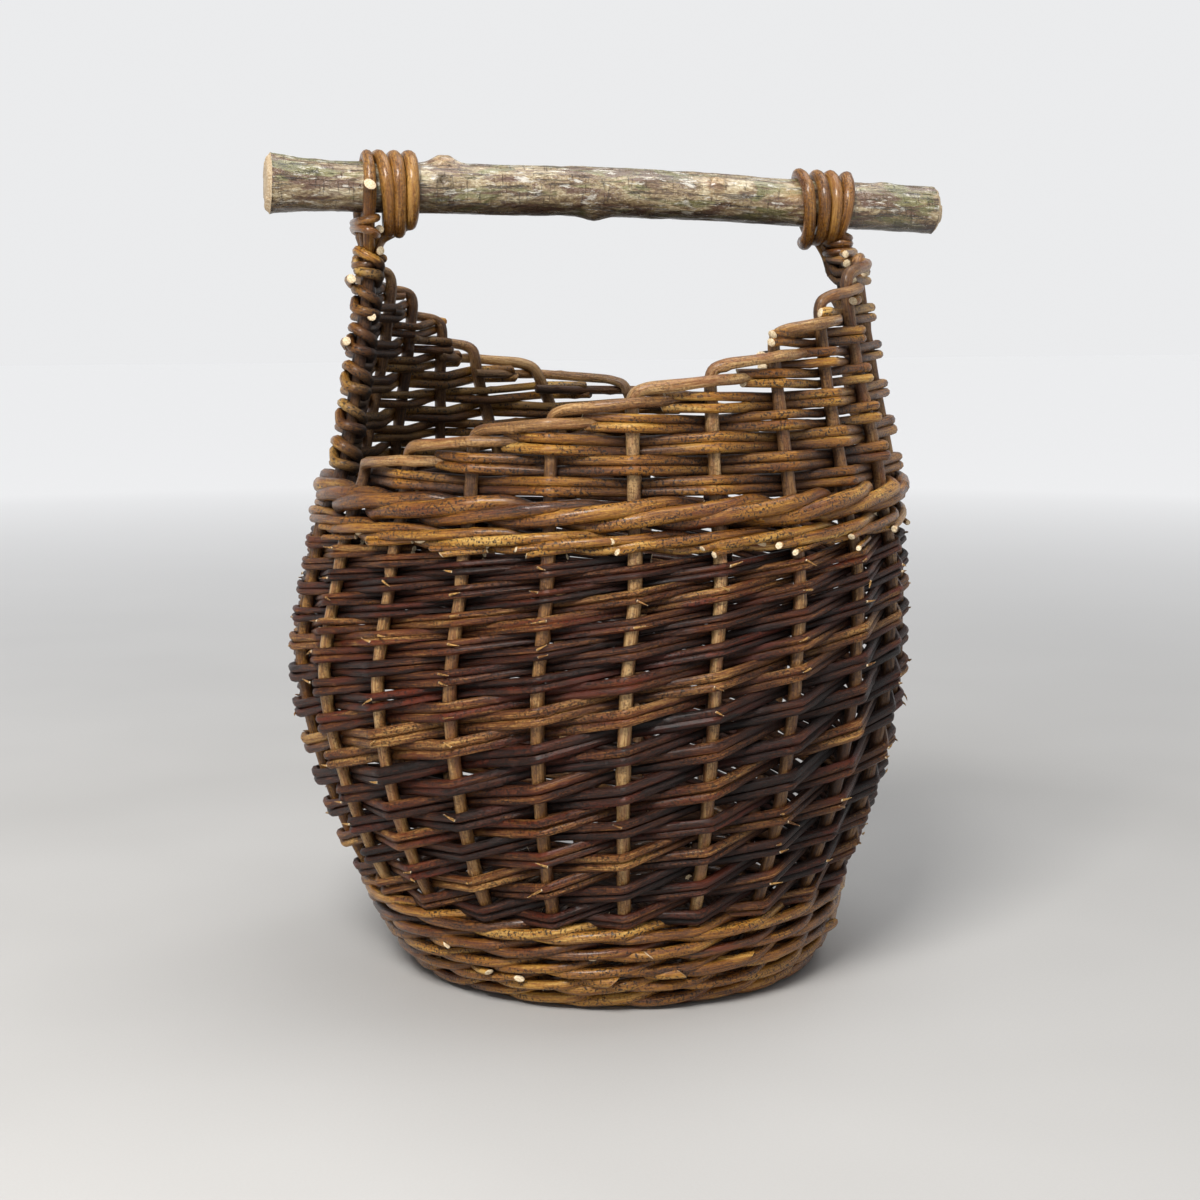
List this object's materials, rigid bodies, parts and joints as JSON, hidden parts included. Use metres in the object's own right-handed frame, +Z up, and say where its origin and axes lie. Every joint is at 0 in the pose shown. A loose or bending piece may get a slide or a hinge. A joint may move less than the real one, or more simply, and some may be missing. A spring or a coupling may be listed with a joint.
{
  "type": "wicker log basket",
  "caption": "Round-bellied woven willow basket for logs, with stepped rising sides, two pointed ears and a lashed bark branch handle.",
  "frame": {"origin": "on the floor under the middle of the base, on the basket's upright axis", "axes": "+Z up; X along the branch handle, through the two posts; the camera's side is -Y"},
  "size_m": [0.4427, 0.4, 0.5178],
  "materials": {
    "stake_willow": "natural bark, low sheen",
    "post_willow": "natural bark, low sheen",
    "base_stick_willow": "natural bark, low sheen",
    "base_weave_willow": "natural bark, low sheen",
    "golden_wale_willow": "natural bark, low sheen",
    "dark_siding_willow": "natural bark, low sheen",
    "panel_willow": "natural bark, low sheen",
    "branch_bark": "natural bark, low sheen",
    "lashing_willow": "natural bark, low sheen"
  },
  "bodies": {
    "root": {"stake_front_01": "stake_willow", "stake_front_02": "stake_willow", "stake_front_03": "stake_willow", "stake_front_04": "stake_willow", "stake_front_05": "stake_willow", "stake_front_06": "stake_willow", "stake_front_07": "stake_willow", "stake_front_08": "stake_willow", "stake_front_09": "stake_willow", "stake_front_10": "stake_willow", "stake_back_01": "stake_willow", "stake_back_02": "stake_willow", "stake_back_03": "stake_willow", "stake_back_04": "stake_willow", "stake_back_05": "stake_willow", "stake_back_06": "stake_willow", "stake_back_07": "stake_willow", "stake_back_08": "stake_willow", "stake_back_09": "stake_willow", "stake_back_10": "stake_willow", "post_right_front": "post_willow", "post_right_back": "post_willow", "post_left_front": "post_willow", "post_left_back": "post_willow", "base_stick_split_1": "base_stick_willow", "base_stick_split_2": "base_stick_willow", "base_stick_split_3": "base_stick_willow", "base_stick_through_1": "base_stick_willow", "base_stick_through_2": "base_stick_willow", "base_stick_through_3": "base_stick_willow", "base_weave": "base_weave_willow", "foot_wale": "golden_wale_willow", "upset_wale": "golden_wale_willow", "siding_weave": "dark_siding_willow", "top_wale_thin": "golden_wale_willow", "top_wale_thick": "golden_wale_willow", "panel_front_weave": "panel_willow", "panel_back_weave": "panel_willow", "handle_branch": "branch_bark", "lashing_left": "lashing_willow", "lashing_right": "lashing_willow"}
  },
  "joints": []
}
